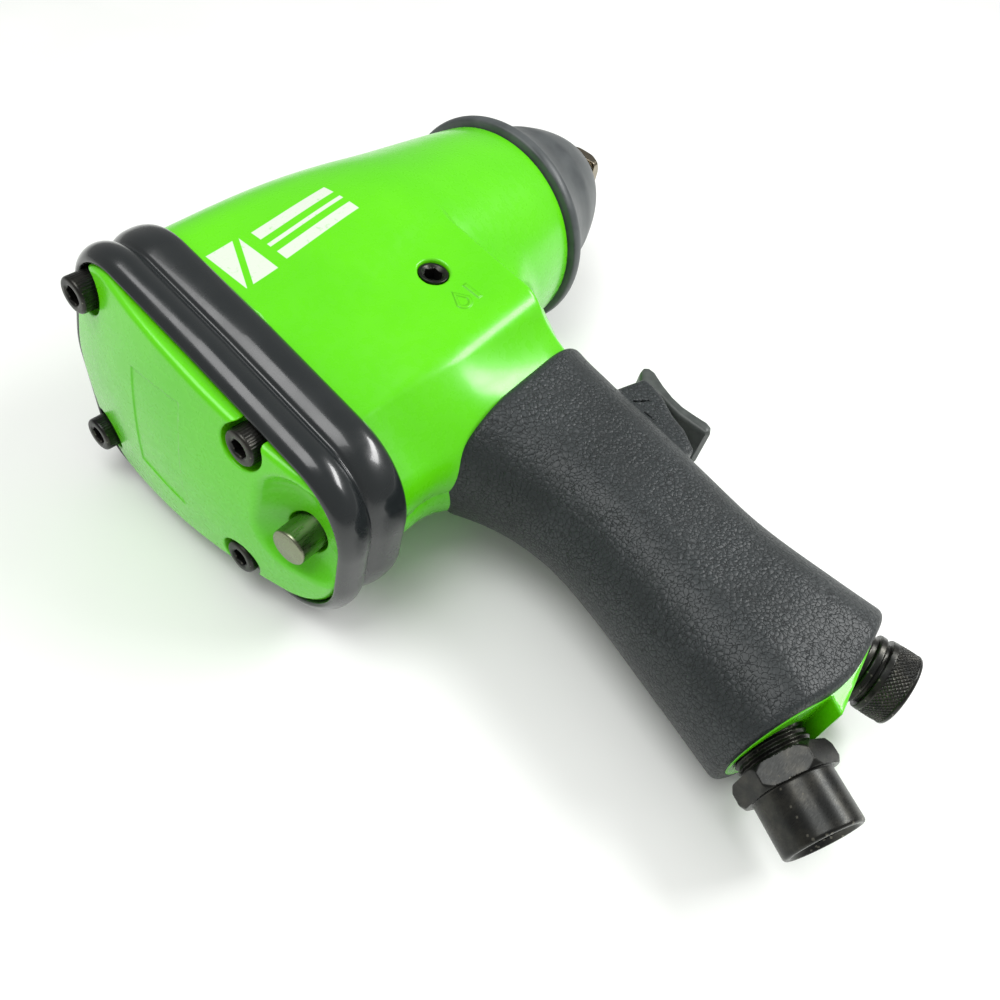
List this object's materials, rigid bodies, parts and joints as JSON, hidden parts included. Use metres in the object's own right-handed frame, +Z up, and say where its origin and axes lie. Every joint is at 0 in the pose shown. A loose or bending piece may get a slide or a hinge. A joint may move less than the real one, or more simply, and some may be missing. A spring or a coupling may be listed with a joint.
{
  "type": "impact wrench",
  "caption": "Pistol-grip air impact wrench with a square drive, twin hammer, vane motor, push-button reverse, trigger, regulator knob and threaded air inlet.",
  "frame": {"origin": "centre of the end face of the square drive", "axes": "+X out along the drive axis, +Z up away from the handle, +Y to the tool's left; the tool stands upright with its handle hanging towards -Z"},
  "size_m": [0.1771, 0.0692, 0.2015],
  "materials": {
    "green_paint": "glossy lime green enamel over a die casting",
    "black_oxide": "black oxide steel, worn at the edges",
    "bright_steel": "turned steel",
    "hardened_steel": "heat treated steel",
    "cast_iron": "machined cast iron",
    "aluminium": "machined",
    "brass": "turned",
    "gloss_black": "smooth glossy moulded bumper",
    "satin_black": "satin moulded boot",
    "grip_rubber": "leather grain moulded rubber",
    "seal_rubber": "smooth",
    "gasket_fibre": "pressed fibre",
    "vane_fibre": "laminated phenolic",
    "trigger_plastic": "satin moulded plastic",
    "bronze": "sintered"
  },
  "bodies": {
    "tool_body": {"motor_housing": "green_paint", "rear_cover": "green_paint", "rear_gasket": "gasket_fibre", "rear_bumper": "gloss_black", "cover_screws": "black_oxide", "cover_washers": "black_oxide", "rear_end_plate": "aluminium", "rear_bearing": "bright_steel", "motor_cylinder": "cast_iron", "cylinder_pin": "bright_steel", "front_end_plate": "aluminium", "front_bearing": "bright_steel", "anvil_bushing": "bronze", "nose_boot": "satin_black", "reverse_bushing": "brass", "detent_ball": "bright_steel", "detent_spring": "bright_steel", "detent_screw": "black_oxide", "trigger_pin": "bright_steel", "throttle_bushing": "brass", "throttle_spring": "bright_steel", "throttle_plug": "aluminium", "air_inlet": "black_oxide", "inlet_seal": "seal_rubber", "inlet_screen": "bright_steel", "regulator_retainer": "bright_steel", "exhaust_mufflers": "bronze", "oil_plug": "black_oxide", "grip_sleeve": "grip_rubber"},
    "rotor_group": {"rotor": "hardened_steel", "rotor_vanes": "vane_fibre", "hammer_cage": "hardened_steel", "hammer_pins": "bright_steel"},
    "anvil_group": {"anvil": "hardened_steel", "anvil_o_ring": "seal_rubber", "socket_retainer_ring": "bright_steel"},
    "dog_rear": {"hammer_dog_rear": "hardened_steel"},
    "dog_front": {"hammer_dog_front": "hardened_steel"},
    "reverse_group": {"reverse_plunger": "bright_steel", "plunger_o_rings": "seal_rubber"},
    "trigger": {"trigger": "trigger_plastic"},
    "throttle_group": {"throttle_stem": "bright_steel", "throttle_valve": "seal_rubber"},
    "regulator_group": {"regulator_knob": "black_oxide", "regulator_o_ring": "seal_rubber"}
  },
  "joints": [
    {"name": "rotor_spin", "type": "hinge", "parent": "tool_body", "child": "rotor_group", "pos_m": [-0.1, 0, 0], "axis": [1, 0, 0], "continuous": true},
    {"name": "anvil_spin", "type": "hinge", "parent": "tool_body", "child": "anvil_group", "pos_m": [-0.03, 0, 0], "axis": [1, 0, 0], "continuous": true},
    {"name": "rear_hammer_rock", "type": "hinge", "parent": "rotor_group", "child": "dog_rear", "pos_m": [-0.095, 0, 0.019], "axis": [1, 0, 0], "range_deg": [-5, 5]},
    {"name": "front_hammer_rock", "type": "hinge", "parent": "rotor_group", "child": "dog_front", "pos_m": [-0.0745, 0, -0.019], "axis": [1, 0, 0], "range_deg": [-5, 5]},
    {"name": "reverse_push", "type": "slide", "parent": "tool_body", "child": "reverse_group", "axis": [1, 0, 0], "range_m": [0, 0.006]},
    {"name": "trigger_squeeze", "type": "hinge", "parent": "tool_body", "child": "trigger", "pos_m": [-0.091, 0, -0.0695], "axis": [0, 1, 0], "range_deg": [0, 12]},
    {"name": "throttle_open", "type": "slide", "parent": "tool_body", "child": "throttle_group", "axis": [-1, 0, 0], "range_m": [0, 0.003], "deforming": ["throttle_spring"]},
    {"name": "regulator_turn", "type": "hinge", "parent": "tool_body", "child": "regulator_group", "pos_m": [-0.1104, 0, -0.1617], "axis": [-0.0819, 0, 0.9966], "range_deg": [-90, 90]}
  ],
  "couplings": [
    {"joint": "anvil_spin", "follows": "rotor_spin", "ratio": 1},
    {"joint": "throttle_open", "follows": "trigger_squeeze", "m_per_rad": 0.0135}
  ]
}
